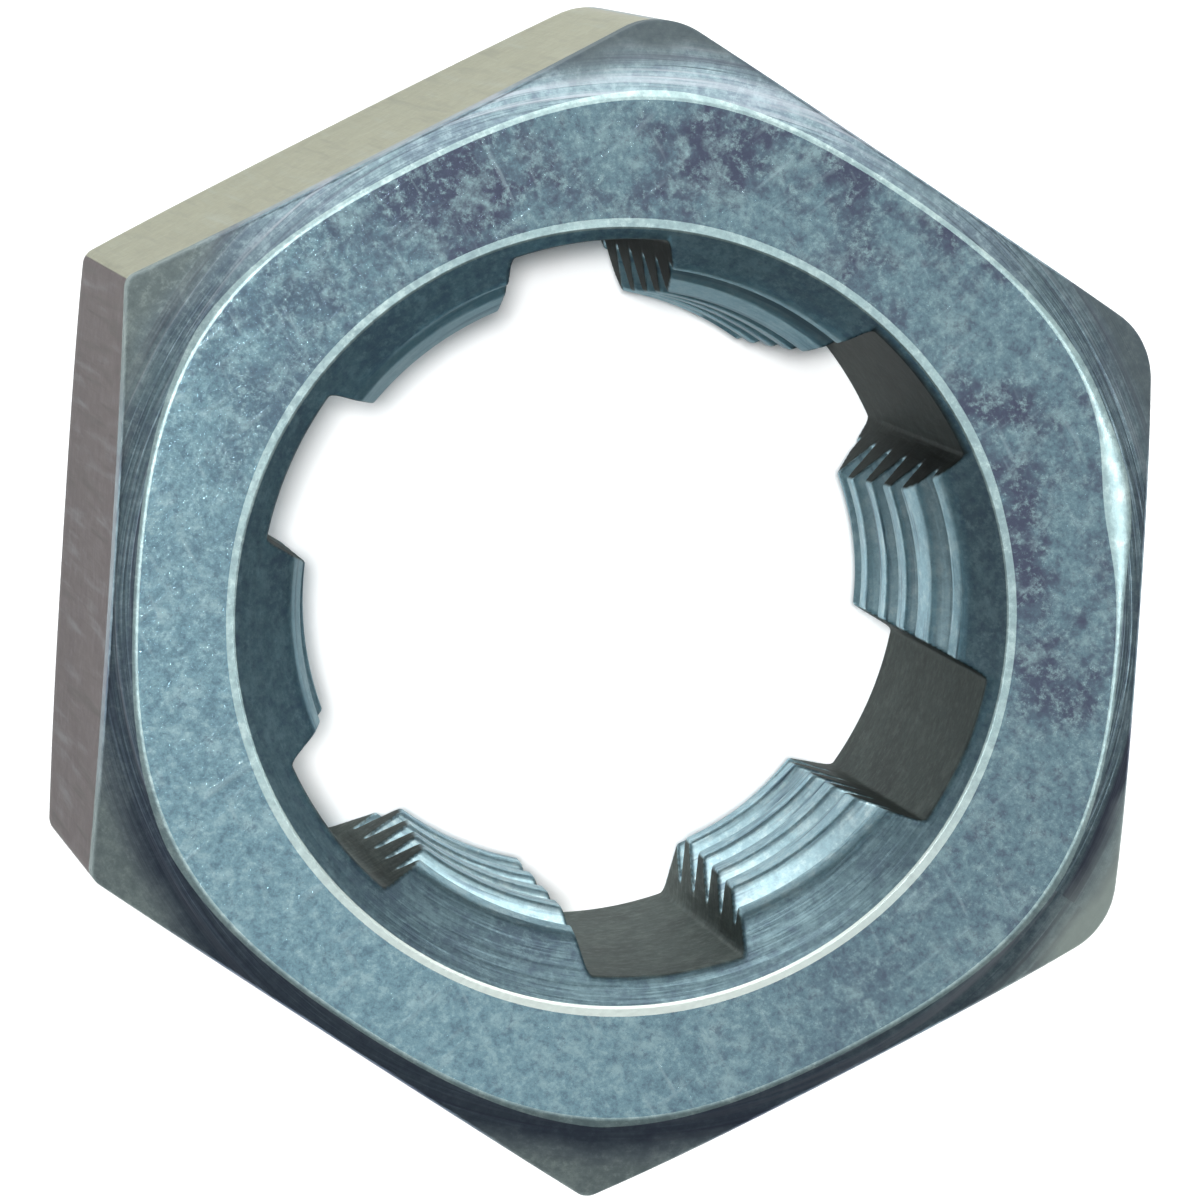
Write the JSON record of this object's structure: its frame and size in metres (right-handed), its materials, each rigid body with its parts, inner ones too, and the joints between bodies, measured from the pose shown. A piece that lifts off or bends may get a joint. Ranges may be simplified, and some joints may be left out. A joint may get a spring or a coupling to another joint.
{
  "type": "hexagon nut with interrupted thread",
  "caption": "Zinc-plated steel hexagon nut whose coarse internal thread is cut into lands by axial flutes, chamfered outside and countersunk at both ends.",
  "frame": {"origin": "on the thread axis, in the plane of the rear face that the nut stands on", "axes": "+Z along the thread axis towards the countersunk front face; X through two opposite hexagon corners; Y square to two opposite flats"},
  "size_m": [0.0342, 0.03, 0.016],
  "materials": {
    "zinc_plated_steel": "blue-passivated zinc plating, satin, mottled, with fine turning marks"
  },
  "bodies": {
    "root": {"nut_body": "zinc_plated_steel"}
  },
  "joints": []
}
